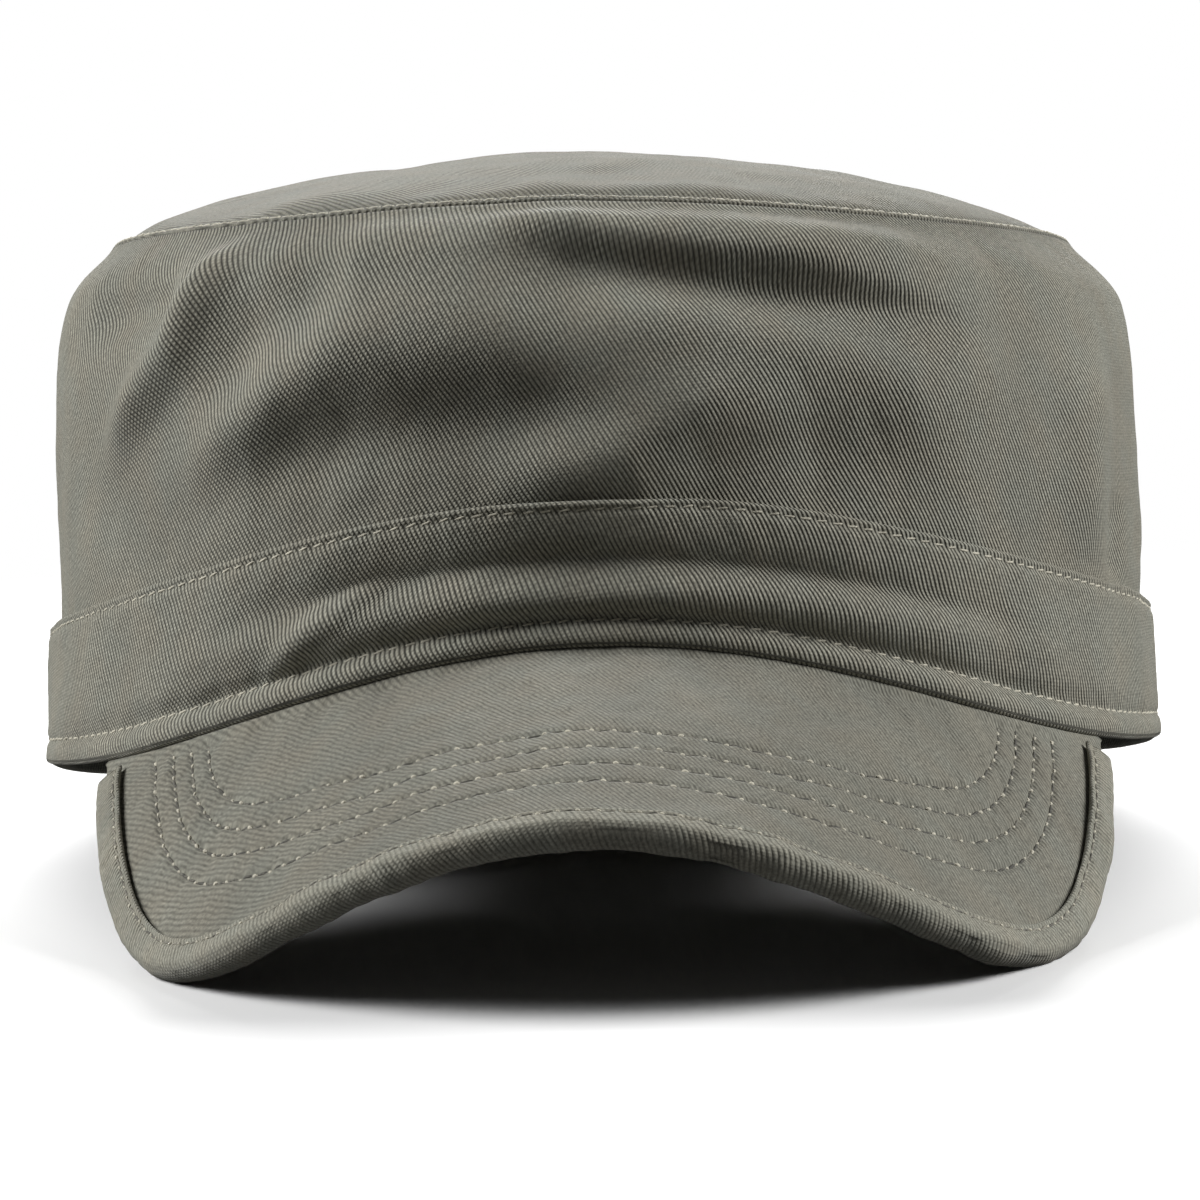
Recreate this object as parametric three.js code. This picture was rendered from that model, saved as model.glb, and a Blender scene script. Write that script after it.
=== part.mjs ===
// A cadet cap of washed cotton twill: a soft crown with a flat-topped, slightly domed top, a stitched
// band, and a short curved peak whose edge is bound with tape.
// Millimetres, +Z up. The front faces -Y and the viewer's right is +X. The cap rests as it would on a
// table, on the back of its band and on the two corners of its peak. The origin lies on the table, in
// the middle of the cap's box.
// Every outline is worked out from a "turn", the angle round the head from the front towards +X, and a
// "climb", which is 0 at the band's foot, 1 at its top edge, 2 at the top seam and 3 in the middle of
// the top.
import * as THREE from "three";

// Head size. It is measured on the body line, the surface on which the band is laid over the crown.
const HEAD_WIDTH = 182.6;
const HEAD_LENGTH = 193.2;

// How high the body line's foot lies above the table, where the foot isn't flattened.
const FRONT_LIFT = 45.3;
const SIDE_LIFT = 14.8;
const BACK_PRESS = 0.7; // how far the table flattens the back of the band
const FOREHEAD_SAG = 6.8; // how far the foot hangs between the forehead and the temples

// Heights along the cap's wall.
const BAND_HEIGHT = 22;
const CROWN_HEIGHT = 61; // of the crown's wall at the sides
const CROWN_FRONT_CUT = 17.5; // how much lower the wall is at the front
const CROWN_BACK_CUT = 4;
const DOME_RISE = 16.5;
const CROWN_LEAN = 1.1; // degrees by which the soft crown leans over to the left

// Cloth and clearances.
const CROWN_CLOTH = 1.5;
const TOP_CLOTH = 1.5;
const BAND_CLOTH = 1.6;
const PEAK_BOARD = 2.4; // the peak's stiffener with the cloth on both of its sides
const TAPE = 1;
const TUCK = 10; // how far the crown goes down behind the band
const GAP = 0.3; // between pieces that are sewn together

// The peak. Seen from above, it is a rounded oblong whose rear is cut away by the head.
const PEAK_SPREAD = 57; // degrees from the front to each end of the peak
const PEAK_REACH = 61.5; // from the band's foot to the edge, in the middle
const PEAK_FALL = 17.4; // from the band's foot to the edge, in the middle
const PEAK_HORN = 1.7; // width of the peak's ends
const PEAK_SIDE_FULLNESS = 2.34; // 2 is an ellipse, and more is squarer
const PEAK_FRONT_FULLNESS = 2.27;
const PEAK_BEND = 31.9; // how far the sides hang below the middle, near the band
const TAPE_REACH = 5; // how far the tape covers the peak from its edge
const TAPE_ROUND = 1.2; // rounding of the tape's outer edge
const CORNER_PRESS = 0.25; // how far the table flattens the peak's corners

// Folds are given as shares of these.
const FOLD_DEPTH = 4;
const FOLD_BREADTH = 10;
const TOP_FADE_SHARE = 0.3; // of the top's radius, within which folds of the wall fade out

// The bend at the peak's edge sets in between these shares of its reach.
const BEND_START_SHARE = -0.66;
const BEND_END_SHARE = 0.73;

// Fineness of the faceted solids.
const TURN_COUNT = 64;
const CROWDING_SHARE = 0.35; // share by which the turns lie closer together at the front
const PEAK_STEP_COUNT = 44;

const COLOUR = { crown: 0x6f6d62, top: 0x85847b, band: 0x6d6b60, peak: 0x7a776c, tape: 0x76736a };

// Sections of the body line. The widths are shares of half the head's width, and the front and back
// reaches are shares of half its length. The sag is a share of the forehead's.
const SECTIONS = [
  { name: "band foot", climb: 0, wide: 1, front: 1.0155, back: 0.985, sag: 1 },
  { name: "band top", climb: 1, wide: 0.985, front: 1, back: 1.01, sag: 0.43 },
  { name: "crown middle", climb: 1.5, wide: 0.989, front: 0.973, back: 1.056, sag: 0.3 },
  { name: "shoulder", climb: 1.835, wide: 0.967, front: 0.875, back: 1.066, sag: 0.22 },
  { name: "top seam", climb: 2, wide: 0.889, front: 0.776, back: 1.025, sag: 0.19 },
];

// Folds and dents of the wall. Each runs over three places, each a turn in degrees and a climb. The
// breadth is a share of FOLD_BREADTH, and the push is a share of FOLD_DEPTH, outwards where positive.
const FOLDS = [
  { name: "front crease", from: [-8, 1.89], by: [15, 1.77], to: [39, 1.68], breadth: 0.45, push: -1 },
  { name: "roll over it", from: [0, 1.98], by: [22, 1.93], to: [44, 1.86], breadth: 0.5, push: 0.4 },
  { name: "ridge under it", from: [-3, 1.68], by: [16, 1.6], to: [34, 1.5], breadth: 0.6, push: 0.4 },
  { name: "left temple fold", from: [-44, 1.88], by: [-51, 1.71], to: [-63, 1.4], breadth: 0.45, push: 0.7 },
  { name: "dent outside it", from: [-55, 1.81], by: [-60, 1.83], to: [-68, 1.8], breadth: 0.6, push: -0.5 },
  { name: "dent inside it", from: [-40, 1.82], by: [-36, 1.72], to: [-32, 1.62], breadth: 0.7, push: -0.5 },
  { name: "left slant", from: [-24, 1.73], by: [-30, 1.57], to: [-43, 1.37], breadth: 0.65, push: 0.55 },
  { name: "left hollow", from: [-32, 1.33], by: [-15, 1.31], to: [0, 1.34], breadth: 0.7, push: -0.5 },
  { name: "left swell", from: [-26, 1.5], by: [-15, 1.58], to: [-3, 1.56], breadth: 0.9, push: 0.4 },
  { name: "front slant", from: [-15, 1.09], by: [1, 1.18], to: [16, 1.44], breadth: 0.5, push: 0.6 },
  { name: "hollow under it", from: [4, 1.08], by: [14, 1.21], to: [27, 1.27], breadth: 0.7, push: -0.45 },
  { name: "right slant", from: [44, 1.63], by: [37, 1.49], to: [30, 1.33], breadth: 0.7, push: 0.3 },
  { name: "right temple ridge", from: [62, 1.65], by: [60, 1.37], to: [59, 1.07], breadth: 0.7, push: 0.4 },
  { name: "right temple dent", from: [68, 1.27], by: [67, 1.12], to: [67, 1], breadth: 0.4, push: -0.3 },
  { name: "left ear slump", from: [-92, 1.6], by: [-104, 1.4], to: [-118, 1.3], breadth: 1, push: -0.4 },
  { name: "right ear slump", from: [96, 1.7], by: [108, 1.45], to: [120, 1.35], breadth: 1, push: -0.4 },
  { name: "back slump", from: [158, 1.62], by: [180, 1.5], to: [203, 1.56], breadth: 1, push: -0.45 },
  { name: "back roll", from: [150, 1.3], by: [175, 1.24], to: [200, 1.32], breadth: 0.9, push: 0.35 },
  { name: "band lip", from: [-66, 0.06], by: [0, 0.08], to: [66, 0.06], breadth: 0.2, push: 0.15 },
  { name: "band groove", from: [-60, 0.24], by: [0, 0.28], to: [60, 0.24], breadth: 0.25, push: -0.36 },
  { name: "band ridge", from: [-24, 0.5], by: [2, 0.43], to: [38, 0.5], breadth: 0.2, push: 0.2 },
  { name: "band dent", from: [-22, 0.71], by: [5, 0.67], to: [32, 0.66], breadth: 0.26, push: -0.34 },
];

// Climbs of the rows of facets. The crown's lowest row follows from the tuck.
const BAND_ROWS = [0, 0.08, 0.17, 0.28, 0.43, 0.55, 0.67, 0.84, 1];
const CROWN_ROWS = [1, 1.09, 1.2, 1.31, 1.43, 1.54, 1.64, 1.72, 1.8, 1.88, 1.95, 2];
const TOP_ROWS = [2.06, 2.16, 2.32, 2.56, 2.8, 3];

const radians = THREE.MathUtils.degToRad;

// A height that has given values at the front, the sides and the back, and is smooth in between.
function roundTheHead(front, side, back, turn) {
  const mean = (front + back + 2 * side) / 4;
  const lean = (front - back) / 2;
  const saddle = (front + back - 2 * side) / 4;
  return mean + lean * Math.cos(turn) + saddle * Math.cos(2 * turn);
}

// A curve through one column of the section table.
function sectionValue(column, climb) {
  const last = SECTIONS.length - 1;
  let i = 0;
  while (i < last - 1 && climb > SECTIONS[i + 1].climb) i += 1;
  const slopeAt = (k) => {
    const before = SECTIONS[Math.max(k - 1, 0)];
    const after = SECTIONS[Math.min(k + 1, last)];
    return (after[column] - before[column]) / (after.climb - before.climb);
  };
  const low = SECTIONS[i];
  const high = SECTIONS[i + 1];
  const span = high.climb - low.climb;
  const u = Math.min((climb - low.climb) / span, 1);
  const rise = high[column] - low[column];
  const cubic = slopeAt(i) * span * u * (1 - u) ** 2 - slopeAt(i + 1) * span * u ** 2 * (1 - u);
  return low[column] + rise * u ** 2 * (3 - 2 * u) + cubic;
}

// The forehead's sag is none at the front and the sides, and 1 at its deepest in between.
function foreheadSag(turn) {
  const ahead = Math.max(Math.cos(turn), 0);
  const deepest = 0.3029;
  return (ahead ** 1.5 * Math.sin(turn) ** 2) / deepest;
}

// Height of the body line's foot above the table.
function footHeight(turn) {
  const free = roundTheHead(FRONT_LIFT, SIDE_LIFT, -BACK_PRESS, turn) - FOREHEAD_SAG * foreheadSag(turn);
  return Math.max(free, 0);
}

// Length of wall between the foot and a place on it.
function wallHeight(turn, climb) {
  const front = CROWN_HEIGHT - CROWN_FRONT_CUT;
  const back = CROWN_HEIGHT - CROWN_BACK_CUT;
  const crown = roundTheHead(front, CROWN_HEIGHT, back, turn);
  return BAND_HEIGHT * Math.min(climb, 1) + crown * Math.max(climb - 1, 0);
}

// The wall without its folds, up to the top seam.
function plainWall(turn, climb) {
  const front = (HEAD_LENGTH / 2) * sectionValue("front", climb);
  const back = (HEAD_LENGTH / 2) * sectionValue("back", climb);
  const sagEased = FOREHEAD_SAG * (1 - sectionValue("sag", climb)) * foreheadSag(turn);
  return new THREE.Vector3(
    (HEAD_WIDTH / 2) * sectionValue("wide", climb) * Math.sin(turn),
    (back - front) / 2 - ((back + front) / 2) * Math.cos(turn),
    footHeight(turn) + sagEased + wallHeight(turn, climb),
  );
}

// The middle of the oval inside the top seam.
const TOP_MIDDLE = [0, 0.5, 1, 1.5]
  .map((halfTurns) => plainWall(halfTurns * Math.PI, 2))
  .reduce((sum, point) => sum.add(point))
  .divideScalar(4);

// The body line's surface without its folds: the wall, then the domed top.
function plainBody(turn, climb) {
  const point = plainWall(turn, Math.min(climb, 2));
  if (climb > 2) {
    const out = 3 - climb;
    point.lerp(TOP_MIDDLE, 1 - out);
    point.z += DOME_RISE * (1 - out ** 2);
  }
  const lean = Math.tan(radians(CROWN_LEAN)) * THREE.MathUtils.smoothstep(climb, 1, 2);
  point.z -= point.x * lean;
  return point;
}

// The outward direction of a surface given by two parameters.
function outwardOf(surface, turn, climb, turnStep, climbStep) {
  const along = surface(turn + turnStep, climb).sub(surface(turn - turnStep, climb));
  const up = surface(turn, climb + climbStep).sub(surface(turn, climb - climbStep));
  return along.cross(up).normalize();
}

// How far a place lies from a fold's run, over the wall's surface.
function distanceToFold(fold, turn, climb) {
  const wholeTurns = Math.round((radians(fold.by[0]) - turn) / (2 * Math.PI)) * 2 * Math.PI;
  const radius = (HEAD_WIDTH + HEAD_LENGTH) / 4;
  const here = new THREE.Vector2((turn + wholeTurns) * radius, wallHeight(turn, Math.min(climb, 2)));
  const stations = [fold.from, fold.by, fold.to].map(([degrees, stationClimb]) => {
    const stationTurn = radians(degrees);
    return new THREE.Vector2(stationTurn * radius, wallHeight(stationTurn, stationClimb));
  });
  const distances = [0, 1].map((k) => {
    const run = stations[k + 1].clone().sub(stations[k]);
    const reach = here.clone().sub(stations[k]);
    const share = THREE.MathUtils.clamp(reach.dot(run) / run.lengthSq(), 0, 1);
    return reach.sub(run.multiplyScalar(share)).length();
  });
  return Math.min(...distances);
}

// How far the folds push a place outwards. On the top panel they fade out.
function foldPush(turn, climb) {
  const fade = 1 - Math.min(Math.max(climb - 2, 0) / TOP_FADE_SHARE, 1);
  const pushes = FOLDS.map((fold) => {
    const breadths = distanceToFold(fold, turn, climb) / (fold.breadth * FOLD_BREADTH);
    return fold.push * FOLD_DEPTH * Math.exp(-(breadths ** 2));
  });
  return fade ** 2 * pushes.reduce((sum, push) => sum + push, 0);
}

// The body line's surface with its folds.
function foldedBody(turn, climb) {
  const point = plainBody(turn, climb);
  const push = foldPush(turn, climb);
  const outward = outwardOf(plainBody, turn, climb, 0.01, 0.01);
  outward.z *= THREE.MathUtils.clamp(climb, 0, 1); // the foot keeps its height
  return point.addScaledVector(outward, push);
}

// The direction out of the middle of the top.
const TOP_DIRECTION = outwardOf(
  (right, back) => plainBody(Math.atan2(right, -back), 3 - Math.hypot(right, back)),
  0,
  0,
  0.05,
  0.05,
);

// A point at a distance outside the body line. The steps are wide enough to turn the direction
// gradually over the top seam, so that the wall and the top meet on one mitre.
function besideBody(turn, climb, distance) {
  if (climb >= 3) return plainBody(0, 3).addScaledVector(TOP_DIRECTION, distance);
  const outward = outwardOf(foldedBody, turn, climb, 0.03, Math.min(0.06, 3 - climb));
  outward.z *= Math.min(climb, 1); // the foot is cut level
  return foldedBody(turn, climb).addScaledVector(outward.normalize(), distance);
}

// A closed wall from sections that each have an outer and an inner row of points. It closes on
// itself, or its two ends are capped. Facets with coinciding corners are left out.
function wallMesh(name, colour, sections, closed) {
  const corners = [];
  const facet = (a, b, c) => {
    const sides = [a.distanceTo(b), b.distanceTo(c), c.distanceTo(a)];
    if (Math.min(...sides) > 1e-4) corners.push(a, b, c);
  };
  const quad = (a, b, c, d) => {
    facet(a, b, c);
    facet(a, c, d);
  };
  const loops = sections.map(({ outer, inner }) => [...outer, ...inner.toReversed()]);
  const count = loops[0].length;
  const outerCount = sections[0].outer.length;
  const spans = closed ? loops.length : loops.length - 1;
  for (let i = 0; i < spans; i += 1) {
    const here = loops[i];
    const next = loops[(i + 1) % loops.length];
    for (let j = 0; j < count; j += 1) {
      const k = (j + 1) % count;
      if (j < outerCount) quad(here[j], next[j], next[k], here[k]);
      else quad(next[j], next[k], here[k], here[j]); // cut along the outside's diagonal
    }
  }
  if (!closed) {
    const first = sections[0];
    const final = sections[sections.length - 1];
    for (let j = 0; j + 1 < first.outer.length; j += 1) {
      quad(first.outer[j], first.outer[j + 1], first.inner[j + 1], first.inner[j]);
      quad(final.outer[j], final.inner[j], final.inner[j + 1], final.outer[j + 1]);
    }
  }
  const geometry = new THREE.BufferGeometry().setFromPoints(corners);
  geometry.computeVertexNormals();
  const cloth = new THREE.MeshStandardMaterial({ color: colour, roughness: 0.95, metalness: 0 });
  const mesh = new THREE.Mesh(geometry, cloth);
  mesh.name = name;
  return mesh;
}

// The turns at which the head is divided, closer together at the front.
function headTurns() {
  return Array.from({ length: TURN_COUNT }, (_, i) => {
    const even = (i / TURN_COUNT) * 2 * Math.PI - Math.PI;
    return even - CROWDING_SHARE * Math.sin(even);
  });
}

// A layer of cloth round the head between two distances from the body line.
function layerOfCloth(name, colour, rows, outside, inside) {
  const sections = headTurns().map((turn) => ({
    outer: rows.map((climb) => besideBody(turn, climb, outside)),
    inner: rows.map((climb) => besideBody(turn, climb, inside)),
  }));
  return wallMesh(name, colour, sections, true);
}

function band() {
  return layerOfCloth("band", COLOUR.band, BAND_ROWS, GAP + BAND_CLOTH, GAP);
}

// The crown's wall, from its hem behind the band to the top seam. Behind the band its rows are the
// band's, so that the two layers stay parallel.
function crownSide() {
  const hem = 1 - TUCK / BAND_HEIGHT;
  const leastRow = 0.05;
  const behindBand = BAND_ROWS.filter((climb) => climb > hem + leastRow && climb < 1);
  return layerOfCloth("crown_side", COLOUR.crown, [hem, ...behindBand, ...CROWN_ROWS], 0, -CROWN_CLOTH);
}

function crownTop() {
  const radius = (HEAD_WIDTH / 2) * sectionValue("wide", 2);
  const rows = [2 + GAP / radius, ...TOP_ROWS];
  return layerOfCloth("crown_top", COLOUR.top, rows, 0, -TOP_CLOTH);
}

// Places on the band's foot that the peak is set out from.
const FOOT = {
  front: besideBody(0, 0, GAP),
  back: besideBody(Math.PI, 0, GAP),
  peakEnd: besideBody(radians(PEAK_SPREAD), 0, GAP),
};
const HEAD_MIDDLE = (FOOT.front.y + FOOT.back.y) / 2;
const PEAK_HALF_WIDTH = FOOT.peakEnd.x + PEAK_HORN;
const PEAK_SINK = GAP + PEAK_BOARD / 2; // from the band's foot down to the middle of the board

// Height of the peak's middle surface, away from the band.
function peakArch(x, y, edgeBend) {
  const out = (FOOT.front.y - y) / PEAK_REACH;
  const blend = THREE.MathUtils.smoothstep(out, BEND_START_SHARE, BEND_END_SHARE);
  const bend = THREE.MathUtils.lerp(PEAK_BEND, edgeBend, blend);
  return FOOT.front.z - PEAK_SINK - PEAK_FALL * out - bend * (x / PEAK_HALF_WIDTH) ** 2;
}

// A line over the peak's middle surface, from the band's foot to the edge. Its place is given by a
// sweep from -90 to 90 degrees, and it starts at the foot's place that lies about nearest.
function peakLine(sweep, edgeBend) {
  const side = Math.abs(Math.sin(sweep)) ** (2 / PEAK_SIDE_FULLNESS) * Math.sign(sweep);
  const ahead = Math.abs(Math.cos(sweep)) ** (2 / PEAK_FRONT_FULLNESS);
  const length = FOOT.peakEnd.y - FOOT.front.y + PEAK_REACH;
  const edge = new THREE.Vector3(PEAK_HALF_WIDTH * side, FOOT.peakEnd.y - length * ahead, 0);
  const bearing = Math.atan2(edge.x, HEAD_MIDDLE - edge.y);
  const widest = Math.atan2(PEAK_HALF_WIDTH, HEAD_MIDDLE - FOOT.peakEnd.y);
  const root = besideBody((radians(PEAK_SPREAD) * bearing) / widest, 0, GAP);
  const toFoot = root.z - PEAK_SINK - peakArch(root.x, root.y, edgeBend);
  return (share) => {
    const point = root.clone().lerp(edge, share);
    const out = Math.hypot(point.x - root.x, point.y - root.y) / PEAK_REACH;
    point.z = peakArch(point.x, point.y, edgeBend) + toFoot * Math.max(1 - out, 0) ** 2;
    return point;
  };
}

// The peak's middle surface with its direction, and the outline's frame, at one sweep.
function peakFrame(sweep, edgeBend) {
  const step = 0.01;
  const line = peakLine(sweep, edgeBend);
  const before = peakLine(Math.max(sweep - step, -Math.PI / 2), edgeBend);
  const after = peakLine(Math.min(sweep + step, Math.PI / 2), edgeBend);
  const upAt = (share) => {
    const across = after(share).sub(before(share));
    const inwards = line(share - step).sub(line(share + step));
    return across.cross(inwards).normalize();
  };
  const along = after(1).sub(before(1)).normalize();
  const outward = along.cross(upAt(1));
  const width = Math.abs(line(1).sub(line(0)).dot(outward));
  const shareAt = (inset) => 1 - inset / width;
  const beside = (share, height) => line(share).addScaledVector(upAt(share), height);
  return { width, shareAt, beside };
}

const RIM = PEAK_BOARD / 2 + GAP + TAPE; // half the thickness of the bound edge

// One section of the tape: outside and inside contours, from the lower leg round to the upper leg.
function tapeSection(frame) {
  const slot = RIM - TAPE;
  const place = ([inset, height]) => frame.beside(frame.shareAt(inset), height);
  const arc = [-90, -45, 0, 45, 90].map((degrees) => [
    TAPE_ROUND * (1 - Math.cos(radians(degrees))),
    RIM * Math.sin(radians(degrees)),
  ]);
  const outside = [[TAPE_REACH, -RIM], ...arc, [TAPE_REACH, RIM]];
  const inside = [
    [TAPE_REACH, -slot],
    [TAPE_ROUND, -slot],
    [TAPE, -slot],
    [TAPE, 0],
    [TAPE, slot],
    [TAPE_ROUND, slot],
    [TAPE_REACH, slot],
  ];
  return { outer: outside.map(place), inner: inside.map(place) };
}

const SWEEPS = Array.from({ length: PEAK_STEP_COUNT + 1 }, (_, i) => (i / PEAK_STEP_COUNT - 0.5) * Math.PI);

// The tape ends where it would run under the band.
function tapedSweeps(edgeBend) {
  const room = TAPE_REACH + BAND_CLOTH + 2 * GAP;
  return SWEEPS.filter((sweep) => peakFrame(sweep, edgeBend).width > room);
}

// The bend at the peak's edge that brings its corners down on the table.
function restingBend() {
  const lowest = (bend) => {
    const heights = tapedSweeps(bend).flatMap((sweep) => {
      return tapeSection(peakFrame(sweep, bend)).outer.map((point) => point.z);
    });
    return Math.min(...heights) + CORNER_PRESS;
  };
  let shallow = 0;
  let deep = 4 * HEAD_WIDTH;
  for (let i = 0; i < 40; i += 1) {
    const bend = (shallow + deep) / 2;
    if (lowest(bend) > 0) shallow = bend;
    else deep = bend;
  }
  return shallow;
}

const EDGE_BEND = restingBend();

// The peak's board, from its edge inside the tape to its root under the band.
function peak() {
  const sections = SWEEPS.map((sweep) => {
    const frame = peakFrame(sweep, EDGE_BEND);
    const edge = Math.min(TAPE + GAP, frame.width / 2);
    const behindTape = Math.min(TAPE_REACH + TAPE, (edge + frame.width) / 2);
    const shares = [0, 0.25, 0.5, 0.75, 1];
    const rest = shares.map((share) => THREE.MathUtils.lerp(behindTape, frame.width, share));
    const insets = [edge, ...rest];
    const row = (height) => insets.map((inset) => frame.beside(frame.shareAt(inset), height));
    return { outer: row(PEAK_BOARD / 2), inner: row(-PEAK_BOARD / 2) };
  });
  return wallMesh("peak", COLOUR.peak, sections, false);
}

// The tape round the peak's edge, flattened where its corners press on the table.
function peakBinding() {
  const sections = tapedSweeps(EDGE_BEND).map((sweep) => tapeSection(peakFrame(sweep, EDGE_BEND)));
  for (const { outer, inner } of sections) {
    for (const point of [...outer, ...inner]) point.z = Math.max(point.z, 0);
  }
  return wallMesh("peak_binding", COLOUR.tape, sections, false);
}

// The whole cap, with the origin moved to the middle of its box.
const cap = new THREE.Group();
cap.name = "cadet_cap";
cap.add(crownSide(), crownTop(), band(), peak(), peakBinding());
const middle = new THREE.Box3().setFromObject(cap).getCenter(new THREE.Vector3());
cap.children.forEach((piece) => piece.position.set(-middle.x, -middle.y, 0));

export default cap;
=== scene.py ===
# %% [markdown]
# # A cadet cap of washed cotton twill
#
# The cap has a soft crown with a slightly domed top, a stitched band, and a short stiff peak whose
# edge is bound with tape. A plain solid model of it is already there, as five closed pieces. This
# script puts the cloth on it: finer surfaces with seams, folds and puckers, every stitch as a short
# piece of thread, and a twill that is woven by a node group.
#
# Nothing here is sculpted by hand. Each surface is a formula of two numbers, as in the solid model.
# The "turn" is the angle round the head from the front, and the "climb" is 0 at the foot of the band,
# 1 at its top edge, 2 at the top seam and 3 in the middle of the top. A formula has one great merit
# for cloth: seams, threads and weave can all ask it where the surface is, so they always fit it.

# %% Load the solid model
import math

import bpy
import numpy as np
from mathutils import Euler, Matrix


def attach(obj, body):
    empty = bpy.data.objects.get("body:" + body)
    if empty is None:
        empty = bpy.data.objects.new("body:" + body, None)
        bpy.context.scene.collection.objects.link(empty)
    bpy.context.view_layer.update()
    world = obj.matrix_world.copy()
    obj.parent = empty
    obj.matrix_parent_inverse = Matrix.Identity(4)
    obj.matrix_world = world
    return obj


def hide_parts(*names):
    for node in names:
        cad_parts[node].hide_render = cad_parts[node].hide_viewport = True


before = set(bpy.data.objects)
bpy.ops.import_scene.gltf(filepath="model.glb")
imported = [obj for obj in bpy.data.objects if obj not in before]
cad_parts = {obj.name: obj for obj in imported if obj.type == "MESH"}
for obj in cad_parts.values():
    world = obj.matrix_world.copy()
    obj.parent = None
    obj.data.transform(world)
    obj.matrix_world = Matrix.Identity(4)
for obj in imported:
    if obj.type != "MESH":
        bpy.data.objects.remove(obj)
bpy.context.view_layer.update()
print("solid pieces:", ", ".join(sorted(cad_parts)))

# %% [markdown]
# ## Camera
#
# The photograph was taken from straight in front and a little above. 0.9 m away is a guess that fits
# the outline, and so is the small roll: either the camera or the cap wasn't quite level. Setting the
# camera first means that every later choice can be judged in the frame of the photograph.

# %% Camera
MM = 0.001
MIDDLE_Y = -28.643  # of the cap's box, in the formulas below, whose zero is the middle of the head
CAMERA_AWAY = 900
CAMERA_HEIGHT = 150
CAMERA_PITCH = math.radians(6.96)
CAMERA_ROLL = math.radians(1.4)
LENS = 162.15

camera_data = bpy.data.cameras.new("camera")
camera_data.lens = LENS
camera_data.clip_start = 0.05
camera = bpy.data.objects.new("camera", camera_data)
aim = Euler((math.pi / 2 - CAMERA_PITCH, 0, 0)).to_matrix() @ Matrix.Rotation(-CAMERA_ROLL, 3, "Z")
place = Matrix.Translation((0, (-CAMERA_AWAY - MIDDLE_Y) * MM, CAMERA_HEIGHT * MM))
camera.matrix_world = place @ aim.to_4x4()
bpy.context.scene.collection.objects.link(camera)
bpy.context.scene.camera = camera
print("lens %.1f mm, %.0f mm above the table" % (camera_data.lens, CAMERA_HEIGHT))

# %% [markdown]
# ## The body line
#
# Hat makers work from a block, the wooden head on which the felt or cloth is shaped. This formula is
# the block. Its sections are given in a small table, and a smooth curve runs through each column.
# The same numbers make the solid model, so that the cloth lies on it everywhere.

# %% Sizes in millimetres
HEAD_WIDTH, HEAD_LENGTH = 182.6, 193.2
FRONT_LIFT, SIDE_LIFT, BACK_PRESS, FOREHEAD_SAG = 45.3, 14.8, 0.7, 6.8
BAND_HEIGHT = 22
CROWN_HEIGHT, CROWN_FRONT_CUT, CROWN_BACK_CUT = 61, 17.5, 4
DOME_RISE = 16.5
CROWN_LEAN = math.radians(1.1)
CROWN_CLOTH, TOP_CLOTH, BAND_CLOTH, PEAK_BOARD, TAPE = 1.5, 1.5, 1.6, 2.4, 1
TUCK, GAP = 10, 0.3
MEAN_RADIUS = (HEAD_WIDTH + HEAD_LENGTH) / 4
LAP = 2 * math.pi * MEAN_RADIUS

SECTION_CLIMBS = np.array([0, 1, 1.5, 1.835, 2])
SECTIONS = {
    "wide": np.array([1, 0.985, 0.989, 0.967, 0.889]),
    "front": np.array([1.0155, 1, 0.973, 0.875, 0.776]),
    "back": np.array([0.985, 1.01, 1.056, 1.066, 1.025]),
    "sag": np.array([1, 0.43, 0.3, 0.22, 0.19]),
}

print("head: %.1f by %.1f mm, %.0f mm round" % (HEAD_WIDTH, HEAD_LENGTH, LAP))


# %% The block's formula
def smoothstep(x, low, high):
    share = np.clip((x - low) / (high - low), 0, 1)
    return share * share * (3 - 2 * share)


def round_the_head(front, side, back, turn):
    """A height with given values at the front, the sides and the back."""
    mean, lean, saddle = (front + back + 2 * side) / 4, (front - back) / 2, (front + back - 2 * side) / 4
    return mean + lean * np.cos(turn) + saddle * np.cos(2 * turn)


def section_value(column, climb):
    """A smooth curve through one column of the section table."""
    values, knots = SECTIONS[column], SECTION_CLIMBS
    last = len(knots) - 1
    i = np.searchsorted(knots[1:-1], climb, side="left")
    before, after = np.maximum(np.arange(last + 1) - 1, 0), np.minimum(np.arange(last + 1) + 1, last)
    slopes = (values[after] - values[before]) / (knots[after] - knots[before])
    span = knots[i + 1] - knots[i]
    u = np.minimum((climb - knots[i]) / span, 1)
    rise = values[i + 1] - values[i]
    cubic = slopes[i] * span * u * (1 - u) ** 2 - slopes[i + 1] * span * u**2 * (1 - u)
    return values[i] + rise * u**2 * (3 - 2 * u) + cubic


SAG_PEAK = 0.3029  # the largest value of the curve below, which this brings to 1


def forehead_sag(turn):
    return np.maximum(np.cos(turn), 0) ** 1.5 * np.sin(turn) ** 2 / SAG_PEAK


def foot_height(turn):
    free = round_the_head(FRONT_LIFT, SIDE_LIFT, -BACK_PRESS, turn) - FOREHEAD_SAG * forehead_sag(turn)
    return np.maximum(free, 0)


def wall_height(turn, climb):
    crown = round_the_head(CROWN_HEIGHT - CROWN_FRONT_CUT, CROWN_HEIGHT, CROWN_HEIGHT - CROWN_BACK_CUT, turn)
    return BAND_HEIGHT * np.minimum(climb, 1) + crown * np.maximum(climb - 1, 0)


def plain_wall(turn, climb):
    front = HEAD_LENGTH / 2 * section_value("front", climb)
    back = HEAD_LENGTH / 2 * section_value("back", climb)
    sag_eased = FOREHEAD_SAG * (1 - section_value("sag", climb)) * forehead_sag(turn)
    x = HEAD_WIDTH / 2 * section_value("wide", climb) * np.sin(turn)
    y = (back - front) / 2 - (back + front) / 2 * np.cos(turn)
    return np.stack([x, y, foot_height(turn) + sag_eased + wall_height(turn, climb)], -1)


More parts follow.
